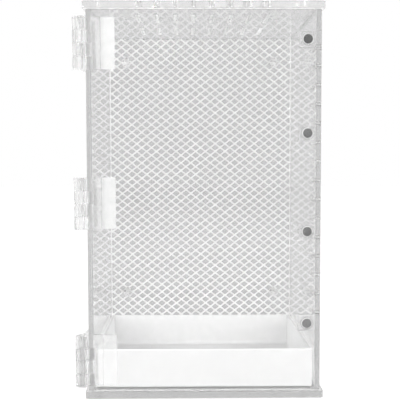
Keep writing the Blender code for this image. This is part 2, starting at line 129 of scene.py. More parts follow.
class NodeTree:
    """The nodes of a material or of the world."""

    def __init__(self, tree: bpy.types.NodeTree) -> None:
        """Take up a tree."""
        self.tree = tree

    def add(self, kind: str, inputs: dict | None = None, **settings: object) -> bpy.types.Node:
        """Add one node.

        Args:
            kind: The node's type, without its leading "ShaderNode".
            inputs: Values, or the sockets to link, by input name or number.
            settings: The node's own properties.

        Returns:
            The node.
        """
        node = self.tree.nodes.new("ShaderNode" + kind)
        for key, value in settings.items():
            setattr(node, key, value)
        for key, value in (inputs or {}).items():
            if isinstance(value, Socket):
                self.tree.links.new(value, node.inputs[key])
            else:
                node.inputs[key].default_value = value
        return node

    def ramp(
        self, value: Socket, low: float, high: float, start: float = 0.0, end: float = 1.0
    ) -> Socket:
        """Return a value that runs from start to end as another runs from low to high."""
        spread = self.add("MapRange", {"Value": value, 1: low, 2: high, 3: start, 4: end})
        return spread.outputs[0]


class Shader(NodeTree):
    """The nodes of one material."""

    def __init__(self, name: str) -> None:
        """Start an empty material.

        Args:
            name: The material's name.
        """
        self.material = bpy.data.materials.new(name)
        self.material.use_nodes = True
        super().__init__(self.material.node_tree)
        self.tree.nodes.clear()
        self.place = self.add("TexCoord").outputs["Object"]

    def noise(
        self, scale: float, detail: float = 3.0, stretch: Sequence[float] = (1, 1, 1)
    ) -> Socket:
        """Return a noise value, in the piece's own metres.

        Args:
            scale: Grains per metre.
            detail: How many finer layers it has.
            stretch: Factors on the three axes, over 1 for finer along that axis.

        Returns:
            The socket of the value.
        """
        turned = self.add("Mapping", {"Vector": self.place, "Scale": stretch}).outputs[0]
        settings = {"Vector": turned, "Scale": scale, "Detail": detail}
        return self.add("TexNoise", settings).outputs["Fac"]

    def grey(self, value: Socket, dark: float, light: float) -> Socket:
        """Return a neutral colour that varies with a value between two greys."""
        ends = {"Factor": value, 6: (dark, dark, dark, 1), 7: (light, light, light, 1)}
        return self.add("Mix", ends, data_type="RGBA", clamp_factor=False).outputs[2]

    def bump(self, layers: Sequence[tuple[Socket, float]]) -> Socket:
        """Return a normal with heights laid over each other.

        Args:
            layers: Pairs of a height value and how many metres one unit of it rises.

        Returns:
            The socket of the normal.
        """
        normal = None
        for height, depth in layers:
            inputs = {"Height": height, "Distance": depth, "Strength": 1.0}
            if normal is not None:
                inputs["Normal"] = normal
            normal = self.add("Bump", inputs).outputs["Normal"]
        return normal

    def finish(self, surface: bpy.types.Node) -> Material:
        """Link a surface to the output and return the material."""
        self.add("OutputMaterial", {"Surface": surface.outputs[0]})
        return self.material


@dataclass(frozen=True)
class ClearFinish:
    """A clear plastic, from polished sheet to cloudy moulding."""

    name: str
    slot: Slot
    tint: Point  # its darkest and its lightest grey
    rough: Point  # its roughness where it is clean and where it is smudged
    wave: float = 1e-5  # metres that the surface waves
    scratch: float = 0.0  # depth of its scratches in metres
    grain: float = 40.0  # smudges per metre
    passes: float = 0.94  # share of the light that each face lets into its shadow
    clear: float = 1.0  # share that is clear; the rest is milky

    def material(self) -> Material:
        """Make the finish's material.

        Returns:
            The material.
        """
        shader = Shader(self.name)
        smudges = shader.noise(self.grain, detail=4.0)
        lines = shader.ramp(shader.noise(*SCRATCHES), *SCRATCHED)
        waves = shader.noise(WAVES, detail=1.0)
        inputs = {
            "Base Color": shader.grey(shader.noise(TINTS, detail=2.0), *self.tint),
            "Roughness": shader.ramp(smudges, *SMUDGED, *self.rough),
            "IOR": IOR,
            "Transmission Weight": self.clear,
            "Normal": shader.bump(((waves, self.wave), (lines, -self.scratch))),
        }
        surface = shader.add("BsdfPrincipled", inputs).outputs[0]
        colour = (self.passes, self.passes, self.passes, 1)
        let_through = shader.add("BsdfTransparent", {"Color": colour}).outputs[0]
        shadow = shader.add("LightPath").outputs["Is Shadow Ray"]
        return shader.finish(shader.add("MixShader", {0: shadow, 1: surface, 2: let_through}))


@dataclass(frozen=True)
class SolidFinish:
    """An opaque plastic or plating with a fine grain, light wear and marks."""

    name: str
    slot: Slot
    tint: Point
    rough: Point  # its roughness where it is darkest and where it is lightest
    grain: float  # grains per metre
    relief: float  # depth of the grain in metres
    scuff: float = 0.0  # depth of its long scuffs in metres
    cells: bool = False  # a foam's cells in place of a grain
    metallic: float = 0.0
    darker_end: Point | None = None  # from where to where along X it turns from darker to its full grey

    def material(self) -> Material:
        """Make the finish's material.

        Returns:
            The material.
        """
        shader = Shader(self.name)
        cloud = shader.noise(self.grain / GRAINS_IN_CLOUD, detail=4.0)
        if self.cells:
            foam = shader.add("TexVoronoi", {"Vector": shader.place, "Scale": self.grain})
            layers = [(foam.outputs["Distance"], self.relief)]
        else:
            layers = [(shader.noise(self.grain), self.relief)]
        if self.scuff:
            layers.append((shader.ramp(shader.noise(*SCUFFS), *SCUFFED), -self.scuff))
        tone = shader.ramp(cloud, *CLOUDED)
        # The grey falls off towards one end of the tape, along X.
        if self.darker_end:
            along = shader.add("SeparateXYZ", {0: shader.place}).outputs["X"]
            full = shader.ramp(along, *self.darker_end, DARK_END_TONE, 0.0)
            tone = shader.add("Math", {0: tone, 1: full}, operation="ADD").outputs[0]
        inputs = {
            "Base Color": shader.grey(tone, *self.tint),
            "Roughness": shader.ramp(cloud, *CLOUDED, *self.rough),
            "Metallic": self.metallic,
            "Normal": shader.bump(layers),
        }
        return shader.finish(shader.add("BsdfPrincipled", inputs))


Finish = ClearFinish | SolidFinish

# The sheets' greys, and the darker greys of their cut edges, are darker than clear acrylic:
# painted shade for the darker room seen through them. The base's copy is also rougher, for scuffs,
# and a little darker still as painted shade.
SHEET = ClearFinish("polished_acrylic", Slot.ACRYLIC, tint=(0.74, 0.77), rough=(0.0, 0.03))
# A lighter copy of the sheet, as painted light, for the top plate and the side walls, which look
# brighter where they mirror the net.
WALL_SHEET_PAINTED_LIGHT = replace(SHEET, name="polished_wall_acrylic", tint=(0.88, 0.92))
BASE_SHEET = replace(SHEET, name="scuffed_base_acrylic", tint=(0.70, 0.76), rough=(0.05, 0.15))
BLOCK = replace(SHEET, name="clear_acrylic_block", tint=(0.94, 0.98), rough=(0.0, 0.04))
CUT_EDGE = ClearFinish(
    "polished_acrylic_edge", Slot.ACRYLIC, tint=(0.60, 0.68), rough=(0.03, 0.09),
    scratch=1e-5, grain=600.0,
)
# A lighter copy of the cut edge, as painted light, for the same sheets.
WALL_EDGE_PAINTED_LIGHT = replace(CUT_EDGE, name="polished_wall_edge", tint=(0.70, 0.78))
# The base plate's edges: rougher, as worn, and darker, as painted shade for the shadowed floor
# seen along the plate.
WORN_EDGE_PAINTED_SHADE = replace(CUT_EDGE, name="worn_acrylic_edge", tint=(0.54, 0.60), rough=(0.06, 0.14))
FROSTED = ClearFinish(
    "frosted_slot_wall", Slot.ACRYLIC, tint=(0.84, 0.92), rough=(0.25, 0.45),
    grain=700.0, clear=0.98,
)
CEMENT = ClearFinish(
    "acrylic_cement", Slot.ACRYLIC, tint=(0.86, 0.98), rough=(0.12, 0.5), wave=4e-5, grain=900.0
)
FILLED = ClearFinish(
    "milky_cement", Slot.ACRYLIC, tint=(0.78, 0.86), rough=(0.25, 0.50),
    wave=2e-5, grain=900.0, clear=0.7,
)
MOULDED = ClearFinish(
    "moulded_hinge_plastic", Slot.MOULDED, tint=(0.94, 0.98), rough=(0.01, 0.06),
    wave=2e-5, grain=220.0, passes=0.985,
)
LEAF_PLATE = replace(MOULDED, name="moulded_hinge_plate", clear=0.97)
# A darker copy of the moulding for the lowest hinge's barrels: painted shade, for the grey
# reflections on them.
BARREL_PAINTED_SHADE = replace(MOULDED, name="shaded_hinge_plastic", tint=(0.76, 0.82))
CLOUDY = ClearFinish(
    "cloudy_rivet_plastic", Slot.MOULDED, tint=(0.76, 0.82), rough=(0.22, 0.42),
    wave=3e-5, grain=500.0,
)
WET_TAPE = ClearFinish(
    "wetted_clear_tape", Slot.TAPE, tint=(0.89, 0.93), rough=(0.02, 0.25),
    wave=2e-5, grain=300.0, passes=0.97, clear=0.97,
)
TAPE = SolidFinish(
    "white_foam_tape", Slot.TAPE, tint=(0.42, 0.48), rough=(0.75, 0.55),
    grain=1500.0, relief=1.2e-4, cells=True, darker_end=(-0.006, -0.0025),
)
TRAY_WHITE = SolidFinish(
    "white_tray_sheet", Slot.WHITE, tint=(0.90, 0.93), rough=(0.43, 0.29),
    grain=1400.0, relief=1e-5, scuff=1e-5,
)
# The tray's inside: the same white, darker as painted shade inside the open box, and rougher with
# more scuffs.
TRAY_INSIDE_PAINTED_SHADE = replace(
    TRAY_WHITE, name="dulled_tray_inside", tint=(0.64, 0.68), rough=(0.57, 0.43), scuff=2e-5
)
NET_WHITE = SolidFinish(
    "white_net_plastic", Slot.NET, tint=(0.71, 0.76), rough=(0.50, 0.34), grain=2600.0, relief=2e-5
)
NICKEL = SolidFinish(
    "dark_nickel_plate", Slot.NICKEL, tint=(0.10, 0.17), rough=(0.40, 0.28),
    grain=3000.0, relief=5e-6, scuff=1e-5, metallic=1.0,
)
SHEET_FINISHES = (SHEET, CUT_EDGE, FROSTED)  # of a sheet's faces, its rim and its holes' walls
# the lighter copies, painted light, for the top plate and the side walls
WALL_FINISHES = (WALL_SHEET_PAINTED_LIGHT, WALL_EDGE_PAINTED_LIGHT, FROSTED)


@cache
def worn(finish: Finish) -> Material:
    """Return a finish's one material, which is made when it is first worn."""
    return finish.material()


# Forms


@dataclass(frozen=True)
class Outline:
    """A closed line round a centre: a rectangle, a slot or a circle, by its corner radius."""

    width: float
    height: float
    radius: float = 0.0
    centre: Point = (0.0, 0.0)
    steps: int = 6  # straight pieces in each rounded corner

    def points(self, grow: float = 0.0) -> list[Point]:
        """Return the line's points, counter-clockwise.

        Args:
            grow: Metres that every side moves out. The number of points stays the same.

        Returns:
            The (x, y) points.
        """
        radius = max(self.radius + grow, SMALLEST_RADIUS) if self.radius else 0.0
        across, up = self.width / 2 + grow - radius, self.height / 2 + grow - radius
        straights = (self.width - 2 * self.radius, self.height - 2 * self.radius)
        places: list[Point] = []
        for number, (side, level) in enumerate(CORNERS):
            middle = Vector((self.centre[0] + side * across, self.centre[1] + level * up))
            if not radius:
                places.append((middle.x, middle.y))
                continue
            quarters = (number - 1 + step / self.steps for step in range(self.steps + 1))
            turns = [math.pi / 2 * part for part in quarters]
            ways = [Vector((math.cos(turn), math.sin(turn))) for turn in turns]
            corner = [middle + radius * way for way in ways]
            before, after = straights[number % 2], straights[(number + 1) % 2]
            if before > SUPPORTED:
                corner.insert(0, corner[0] - SUPPORT * ways[-1])
            if after > SUPPORTED:
                corner.append(corner[-1] - SUPPORT * ways[0])
            elif after < SAME_POINT:
                corner.pop()
            places += [(point.x, point.y) for point in corner]
        return places


def circle(radius: float, centre: Point = (0.0, 0.0), steps: int = 12) -> Outline:
    """Return a circle, with a number of straight pieces in each quarter."""
    return Outline(2 * radius, 2 * radius, radius, centre, steps)


def quarter(radius: float, steps: int = 3) -> list[Point]:
    """Return (inset, height) of a rounded lower edge, from its flat face up to its side."""
    angles = [math.pi / 2 * step / steps for step in range(steps + 1)]
    return [(radius * (1 - math.sin(turn)), radius * (1 - math.cos(turn))) for turn in angles]


class Solid:
    """A closed surface, made from rings of points."""

    def __init__(self) -> None:
        """Start with nothing."""
        self.bm = bmesh.new()

    def ring(self, points: Sequence[Point], height: float) -> Ring:
        """Add the points of a line at one height."""
        return [self.bm.verts.new((x, y, height)) for x, y in points]

    def band(self, lower: Ring, upper: Ring, look: Look = Look.MAIN, closed: bool = True) -> None:
        """Join two rings of like count by smooth faces.

        Args:
            lower: The one ring.
            upper: The other.
            look: The finish of the faces.
            closed: False where the last points aren't joined to the first.
        """
        for index in range(len(lower) if closed else len(lower) - 1):
            after = (index + 1) % len(lower)
            face = self.bm.faces.new((lower[index], lower[after], upper[after], upper[index]))
            face.smooth, face.material_index = True, look

    def stack(
        self, outline: Outline, levels: Sequence[Point], outwards: bool, look: Look = Look.MAIN
    ) -> tuple[Ring, Ring]:
        """Add a wall of bands.

        Args:
            outline: The line at inset 0.
            levels: (inset, height) of each ring.
            outwards: True where an inset makes the line larger, as round a hole.
            look: The finish of the wall.

        Returns:
            The first and the last ring.
        """
        way = 1 if outwards else -1
        rings = [self.ring(outline.points(way * inset), height) for inset, height in levels]
        for lower, upper in zip(rings, rings[1:]):
            self.band(lower, upper, look)
        return rings[0], rings[-1]

    def cap(self, rings: Sequence[Ring], look: Look = Look.MAIN) -> None:
        """Close the first ring, less the convex rings inside it, by flat triangles.

        Args:
            rings: The outer ring, then those inside it.
            look: The finish of the triangles.
        """
        verts: Ring = []
        owner: list[int] = []
        edges: list[tuple[int, int]] = []
        for number, loop in enumerate(rings):
            first, count = len(verts), len(loop)
            edges += [(first + index, first + (index + 1) % count) for index in range(count)]
            verts += loop
            owner += [number] * count
        inside_outlines = 1
        flat = [vert.co.xy for vert in verts]
        faces, sources = delaunay_2d_cdt(flat, edges, [], inside_outlines, SAME_POINT)[2:4]
        for face in faces:
            corners = [sources[index][0] for index in face]
            owners = {owner[corner] for corner in corners}
            if len(owners) > 1 or owners == {0}:
                self.bm.faces.new([verts[corner] for corner in corners]).material_index = look

    def mesh(self, name: str) -> Mesh:
        """Turn the surface into a mesh, with its faces pointing out.

        Args:
            name: The mesh's name.

        Returns:
            The mesh.
        """
        bmesh.ops.recalc_face_normals(self.bm, faces=self.bm.faces[:])
        for edge in self.bm.edges:
            edge.smooth = edge.calc_face_angle(0.0) < SHARP_ABOVE
        mesh = bpy.data.meshes.new(name)
        self.bm.to_mesh(mesh)
        self.bm.free()
        return mesh


Pocket = tuple[Outline, float]  # with its depth from a sheet's upper face


@dataclass(frozen=True)
class SheetForm:
    """A flat sheet from z = 0 to its thickness, with eased edges, holes and pockets."""

    outline: Outline
    thickness: float
    easing: float
    holes: Sequence[Outline] = ()
    pockets: Sequence[Pocket] = ()

    def mesh(self, name: str) -> Mesh:
        """Make the sheet's mesh.

        Args:
            name: The mesh's name.

        Returns:
            The mesh, with its own finishes on the rim and on the walls of its holes.
        """
        solid = Solid()
        lower = quarter(self.easing)
        if self.thickness > 2 * self.easing + SUPPORTED:
            lower.append((0.0, self.easing + SUPPORT))
        levels = lower + [(inset, self.thickness - height) for inset, height in reversed(lower)]
        below, above = ([ring] for ring in solid.stack(self.outline, levels, False, Look.RIM))
        for hole in self.holes:
            low, high = solid.stack(hole, levels, True, Look.HOLE)
            below.append(low)
            above.append(high)
        for pocket, depth in self.pockets:
            floor = self.thickness - depth
            wall = [(0.0, floor), (0.0, floor + SUPPORT), *levels[len(levels) // 2 :]]
            low, high = solid.stack(pocket, wall, outwards=True)
            solid.cap([low])
            above.append(high)
        solid.cap(below)
        solid.cap(above)
        return solid.mesh(name)


def loft(name: str, levels: Sequence[tuple[Outline, float, float]], inside: int = 0) -> Mesh:
    """Return a closed form that is drawn through rings.

    Args:
        name: The mesh's name.
        levels: Each ring's outline, how far it is grown, and its height.
        inside: How many of the last rings are inside, with the second finish.

    Returns:
        The mesh, with flat faces over its first and its last ring.
    """
    solid = Solid()
    rings = [solid.ring(outline.points(grow), height) for outline, grow, height in levels]
    first_inside = len(rings) - inside
    for index, (lower, upper) in enumerate(zip(rings, rings[1:]), 1):
        solid.band(lower, upper, Look.RIM if index >= first_inside else Look.MAIN)
    solid.cap([rings[0]])
    solid.cap([rings[-1]], Look.RIM if inside else Look.MAIN)
    return solid.mesh(name)


def shared(name: str, make: Callable[[str], Mesh]) -> Mesh:
    """Return the mesh of a name, which is made when it is first asked for."""
    return bpy.data.meshes.get(name) or make(name)


def put(
    name: str, mesh: Mesh, place: Sequence[float], body: Body, finishes: Sequence[Finish],
    facing: Facing = Facing.UP, nodes: Sequence[str] = (),
) -> Piece:
    """Set a finished piece in the model.

    Args:
        name: The piece's name.
        mesh: Its mesh, which like pieces share.
        place: Where its own origin goes.
        body: The body that it rides on.
        finishes: Its finishes, by material number.
        facing: How it is turned.
        nodes: The CAD nodes that it stands for.

    Returns:
        The piece.
    """
    piece = bpy.data.objects.new(name, mesh)
    bpy.context.scene.collection.objects.link(piece)
    piece.location = place
    piece.rotation_euler = Euler(facing.value)
    if not mesh.materials:
        for finish in finishes:
            mesh.materials.append(worn(finish))
    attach(piece, body.value)
    if nodes:
        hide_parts(*nodes)
    return piece


# Sub-assemblies


class Site:
    """The place of a CAD node, which a finer piece fills."""

    def __init__(self, node: str) -> None:
        """Measure the box of a node.

        Args:
            node: The node's name.
        """
        self.node = node
        self.low, self.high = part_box(node)
        self.size, self.middle = self.high - self.low, (self.low + self.high) / 2

    def foot(self, facing: Facing) -> Vector:
        """Return the middle of the side that a form stands on and looks away from."""
        way = Euler(facing.value).to_matrix().col[2]
        return self.middle - way * self.size / 2

    def sheet(
        self, facing: Facing, corner: Corner, easing: float,
        holes: Sequence[Outline] = (), pockets: Sequence[Pocket] = (),
    ) -> SheetForm:
        """Draw a sheet that fills the box.

        Args:
            facing: How the sheet is turned.
            corner: Its corners.
            easing: Radius of its edges.
            holes: Its holes, about its middle.
            pockets: Its pockets.

        Returns:
            The form.
        """
        turned = Euler(facing.value).to_matrix().transposed() @ self.size
        width, height, thickness = (abs(length) for length in turned)
        outline = Outline(width, height, corner[0], steps=corner[1])
        return SheetForm(outline, thickness, easing, holes, pockets)

    def fill(
        self, name: str, mesh: Mesh, body: Body, finishes: Sequence[Finish],
        facing: Facing = Facing.UP,
    ) -> Piece:
        """Put a form in the node's place, with the arguments of put."""
        return put(name, mesh, self.foot(facing), body, finishes, facing, [self.node])


@dataclass(frozen=True)
class SlotGrid:
    """Like air slots in a grid, whose middle is in the model's metres."""

    size: Point
    counts: tuple[int, int]
    pitches: Point
    middle: Point

    def outlines(self, sheet: Sequence[float]) -> list[Outline]:
        """Lay out the slots.

        Args:
            sheet: The middle of the sheet that they are cut in.

        Returns:
            Their outlines, about that middle.
        """
        places = []
        for middle, origin, count, pitch in zip(self.middle, sheet, self.counts, self.pitches):
            first = middle - origin - (count - 1) / 2 * pitch
            places.append([first + step * pitch for step in range(count)])
        radius = min(self.size) / 2
        return [Outline(*self.size, radius, (x, y)) for x in places[0] for y in places[1]]


@dataclass
class Cabinet:
    """The two plates and the three fixed walls."""

    easing: float = 0.0003
    plate_corner: Corner = (0.004, 10)
    wall_corner: Corner = (0.0004, 2)
    top_slots: SlotGrid = SlotGrid((0.003, 0.050), (8, 2), (0.0166, 0.080), (0.0, 0.0))
    side_slots: SlotGrid = SlotGrid((0.028, 0.003), (1, 15), (0.0, 0.0164), (-0.080, 0.188))
    rivet_hole: Corner = (0.002, 6)

    def build(self) -> list[Piece]:
        """Make the five sheets.

        Returns:
            The pieces.
        """
        plate, wall = self.plate_corner, self.wall_corner
        top_slots = self.top_slots.outlines(Site("top_plate").middle.xy)
        side_slots = self.side_slots.outlines(Site("right_wall").middle.yz)
        radius, steps, level = *self.rivet_hole, Site("back_wall").middle.z
        rivet_holes = [circle(radius, (x, z - level), steps) for x, z in RIVET_PLACES]
        pieces = []
        for node, facing, corner, holes, finishes in (
            # the base's edges wear painted shade
            ("base_plate", Facing.UP, plate, [], (BASE_SHEET, WORN_EDGE_PAINTED_SHADE)),
            ("top_plate", Facing.UP, plate, top_slots, WALL_FINISHES),
            ("left_wall", Facing.RIGHT, wall, [], WALL_FINISHES),
            ("right_wall", Facing.RIGHT, wall, side_slots, WALL_FINISHES),
            ("back_wall", Facing.FRONT, wall, rivet_holes, SHEET_FINISHES),
        ):
            site = Site(node)
            mesh = site.sheet(facing, corner, self.easing, holes).mesh(node)
            pieces.append(site.fill(f"{node}_sheet", mesh, Body.CABINET, finishes, facing))
        return pieces


@dataclass
class CementSeams:
    """The thin films of acrylic cement between the sheets."""

    film: float = 0.0002
    film_easing: float = 2.5e-5
    side_room: float = 0.0004  # from a film's edge to the sheets' faces
    bead_room: float = 0.0001  # from a bead to the wall and to the net beside it
    bead_easing: float = 0.0001

    def build(self) -> list[Piece]:
        """Make the films under, over and behind the walls, and a bead on each side of the net.

        Returns:
            The pieces.
        """
        left, right, back = Site("left_wall"), Site("right_wall"), Site("back_wall")
        floor, ceiling = Site("base_plate").high.z, Site("top_plate").low.z
        pieces = []
        for wall in (left, right, back):
            outline = Outline(wall.size.x - 2 * self.side_room, wall.size.y - 2 * self.side_room)
            form = SheetForm(outline, self.film, self.film_easing)
            for end, low, high in (("foot", floor, wall.low.z), ("head", wall.high.z, ceiling)):
                name = f"{wall.node}_{end}_seam"
                place = (*wall.middle.xy, (low + high - self.film) / 2)
                pieces.append(put(name, form.mesh(name), place, Body.CABINET, (CEMENT,)))
        outline = Outline(self.film, back.size.y - 2 * self.side_room)
        seam = SheetForm(outline, back.size.z, self.film_easing)
        net = Site("climbing_mesh")
        depth = back.low.y - self.bead_room - net.low.y
        for side, face, wall_edge, net_edge in (
            ("left", left.high.x, back.low.x, net.low.x),
            ("right", right.low.x, back.high.x, net.high.x),
        ):
            name, place = f"{side}_back_seam", ((face + wall_edge) / 2, back.middle.y, back.low.z)
            pieces.append(put(name, seam.mesh(name), place, Body.CABINET, (CEMENT,)))
            outline = Outline(abs(face - net_edge) - 2 * self.bead_room, depth)
            bead = SheetForm(outline, net.size.z, self.bead_easing)
            name = f"{side}_back_bead"
            place = ((face + net_edge) / 2, net.low.y + depth / 2, net.low.z)
            pieces.append(put(name, bead.mesh(name), place, Body.CABINET, (FILLED, FILLED)))
        return pieces


@dataclass
class MagnetCatch:
    """The door panel and the pairs of disc magnets that hold it shut."""

    painted_reflection: tuple[float, ...] = (1.3, 0.80, 0.56, 0.24)  # painted reflection: how light each pair's nickel is, from the lowest up
    glue: float = 0.0003  # behind a magnet in its pocket
    easing: float = 0.0003
    corner: Corner = (0.0005, 3)
    pocket_radius: float = 0.005
    pocket_steps: int = 9
    magnet_easing: float = 0.0004
    ring_inner: float = 0.00405
    ring_outer: float = 0.0049
    ring_easing: float = 0.0001
    ring_room: float = 0.0001  # from a ring's flat faces to its magnet's

    def build(self) -> list[Piece]:
        """Make the door panel, the blocks behind it and the magnets in both.

        Returns:
            The pieces.
        """
        door = Site("door_panel")
        pockets, pieces = [], []
        for number in range(1, len(self.painted_reflection) + 1):
            in_door, in_block = Site(f"door_magnet_{number}"), Site(f"block_magnet_{number}")
            centre = (door.middle.x - in_door.middle.x, in_door.middle.z - door.middle.z)
            pocket = circle(self.pocket_radius, centre, self.pocket_steps)
            pockets.append((pocket, door.high.y - in_door.low.y + self.glue))
            pieces += self.magnet(in_door, Body.DOOR, number)
            pieces += self.magnet(in_block, Body.CABINET, number)
            block = Site(f"magnet_block_{number}")
            pocket = circle(self.pocket_radius, steps=self.pocket_steps)
            hollow = [(pocket, in_block.high.y - block.low.y + self.glue)]
            form = block.sheet(Facing.FRONT, self.corner, self.easing, pockets=hollow)
            mesh = shared("clear_block", form.mesh)
            name, finishes = f"{block.node}_body", (BLOCK, BLOCK)
            pieces.append(block.fill(name, mesh, Body.CABINET, finishes, Facing.FRONT))
        form = door.sheet(Facing.BACK, self.corner, self.easing, pockets=pockets)
        mesh = form.mesh("door")
        return [*pieces, door.fill("door_sheet", mesh, Body.DOOR, SHEET_FINISHES, Facing.BACK)]

    def magnet(self, site: Site, body: Body, number: int) -> list[Piece]:
        """Make one disc magnet and the ring of cement round it.

        Args:
            site: The magnet's place.
            body: The body that it rides on.
            number: Its pair, from the lowest up, which sets how bright its painted reflection is.

        Returns:
            The two pieces.
        """
        # Painted reflection: each pair's nickel grey is scaled, lighter low down and darker higher
        # up, as the room mirrored in it.
        bright = self.painted_reflection[number - 1]
        tint = (NICKEL.tint[0] * bright, NICKEL.tint[1] * bright)
        finish = replace(NICKEL, name=f"{NICKEL.name}_{number}", tint=tint)
        form = SheetForm(circle(site.size.x / 2), site.size.y, self.magnet_easing)
        mesh = shared(f"disc_magnet_{number}", form.mesh)
        disc = site.fill(f"{site.node}_disc", mesh, body, (finish, finish), Facing.FRONT)
        outline, hole = circle(self.ring_outer), circle(self.ring_inner)
        thickness = site.size.y - 2 * self.ring_room
        mesh = shared("cement_ring", SheetForm(outline, thickness, self.ring_easing, [hole]).mesh)
        place = site.foot(Facing.FRONT) - Vector((0.0, self.ring_room, 0.0))
        finishes = (FILLED,) * 3
        return [disc, put(f"{site.node}_cement", mesh, place, body, finishes, Facing.FRONT)]


@dataclass
class Hinge:
    """One of the three hinges: two like leaves, a pin and two foam pads."""

    number: int
    barrel: ClearFinish = MOULDED
    tape: Finish = TAPE
    length: float = 0.044
    knuckles: int = 4
    knuckle_gap: float = 0.0003
    to_knuckle: float = 0.0036  # from a knuckle's outside to the start of the plate
    standoff: float = 0.005  # from the axis to the panel
    root: float = 0.0048  # the plate's thickness beside the knuckles, and at its end
    tip: float = 0.0028
    leaf_length: float = 0.0203
    corner: float = 0.00135  # from the knuckles' outside to the panels' corner
    barrel_steps: int = 56
    bore_radius: float = 0.0023
    round_steps: int = 10  # straight pieces in a quarter of the bore and of the pin
    pin_easing: float = 0.0004
    glue_gap: float = 0.0003
    pad_length: float = 0.012
    pad_thickness: float = 0.0008
    pad_corner: Corner = (0.0008, 3)
    pad_easing: float = 0.0002
    edge: Corner = (0.0003, 2)

    def section(self) -> tuple[list[Point], list[Point]]:
        """Draw a leaf's cross-section.

        Returns:
            The (x, y) points of its plate, with the recess for the pad, and those of its
            barrel, which runs from the plate's last point round to its first.
        """
        radius = self.standoff * math.sqrt(2) - self.corner
        start = radius + self.to_knuckle
        end = start + self.leaf_length
        back = self.standoff - self.glue_gap
        recess = back - self.pad_thickness - self.glue_gap
        pad_start = end - self.pad_length - self.glue_gap
        root, tip = self.standoff - self.root, self.standoff - self.tip
        plate = [(start, root), (end, tip), (end, recess), (pad_start, recess)]
        plate += [(pad_start, back), (start, back)]
        first = math.asin(back / radius)
        last = 2 * math.pi + math.atan2(root, start) - math.acos(radius / math.hypot(start, root))
        steps = self.barrel_steps
        angles = [first + (last - first) * step / steps for step in range(steps + 1)]
        return plate, [(radius * math.cos(angle), radius * math.sin(angle)) for angle in angles]

    def leaf(self, name: str) -> Mesh:
        """Make the leaf that both sides of a hinge share.

        Local x runs from the axis along the panel, y from the axis to the panel, and z from
        the hinge's middle. Knuckles stand on the first and the third quarter from below.

        Args:
            name: The mesh's name.

        Returns:
            The mesh, with its knuckles in the second finish.
        """
        plate, barrel = self.section()
        bore = circle(self.bore_radius, steps=self.round_steps).points()
        levels = [-self.length / 2]
        for index in range(1, self.knuckles):
            room = (-1) ** index * self.knuckle_gap / 2
            levels.append(-self.length / 2 + index * self.length / self.knuckles + room)
        levels.append(self.length / 2)
        solid = Solid()
        rows = [solid.ring(plate, level) for level in levels]
        for index, (lower, upper) in enumerate(zip(rows, rows[1:])):
            has_knuckle = index % 2 == 0
            solid.band(lower, upper, closed=not has_knuckle)
            if has_knuckle:
                foot, head = levels[index], levels[index + 1]
                low = [lower[-1], *solid.ring(barrel, foot), lower[0]]
                high = [upper[-1], *solid.ring(barrel, head), upper[0]]
                inner_low, inner_high = solid.ring(bore, foot), solid.ring(bore, head)
                solid.band(low, high, Look.RIM, closed=False)
                solid.band(inner_low, inner_high, Look.RIM)
                solid.cap([low, inner_low], Look.RIM)
                solid.cap([high, inner_high], Look.RIM)
        solid.bm.faces.new(rows[0])
        solid.bm.faces.new(rows[-1])
        for face in solid.bm.faces:
            face.smooth = True
        return solid.mesh(name)

    def build(self) -> list[Piece]:
        """Make the hinge's five pieces.

        Returns:
            The pieces.
        """
        stem = f"hinge_{self.number}"
        pin = Site(f"{stem}_pin")
        leaf = shared(f"leaf_with_{self.barrel.name}", self.leaf)
        finishes, pieces = (LEAF_PLATE, self.barrel), []
        for node, body, facing in (
            (f"{stem}_door_leaf", Body.DOOR, Facing.UP),
            (f"{stem}_wall_leaf", Body.CABINET, Facing.LEAF_ON_WALL),
        ):
            piece = put(f"{node}_moulding", leaf, pin.middle, body, finishes, facing, [node])
            rounding = piece.modifiers.new("eased_edges", "BEVEL")
            rounding.width, rounding.segments = self.edge
            rounding.limit_method, rounding.angle_limit = "ANGLE", SHARP_ABOVE
            rounding.harden_normals = True
            pieces.append(piece)
        outline = circle(pin.size.x / 2, steps=self.round_steps)
        rod = shared("hinge_pin_form", SheetForm(outline, self.length, self.pin_easing).mesh)
        pieces.append(pin.fill(f"{pin.node}_rod", rod, Body.CABINET, (MOULDED,)))
        for part, body, facing in (
            ("door_pad", Body.DOOR, Facing.FRONT),
            ("wall_pad", Body.CABINET, Facing.RIGHT),
        ):
            site = Site(f"{stem}_{part}")
            form = site.sheet(facing, self.pad_corner, self.pad_easing)
            mesh = shared(f"pad_of_{self.tape.name}", form.mesh)
            name, finishes = f"{site.node}_tape", (self.tape, self.tape)
            pieces.append(site.fill(name, mesh, body, finishes, facing))
        return pieces


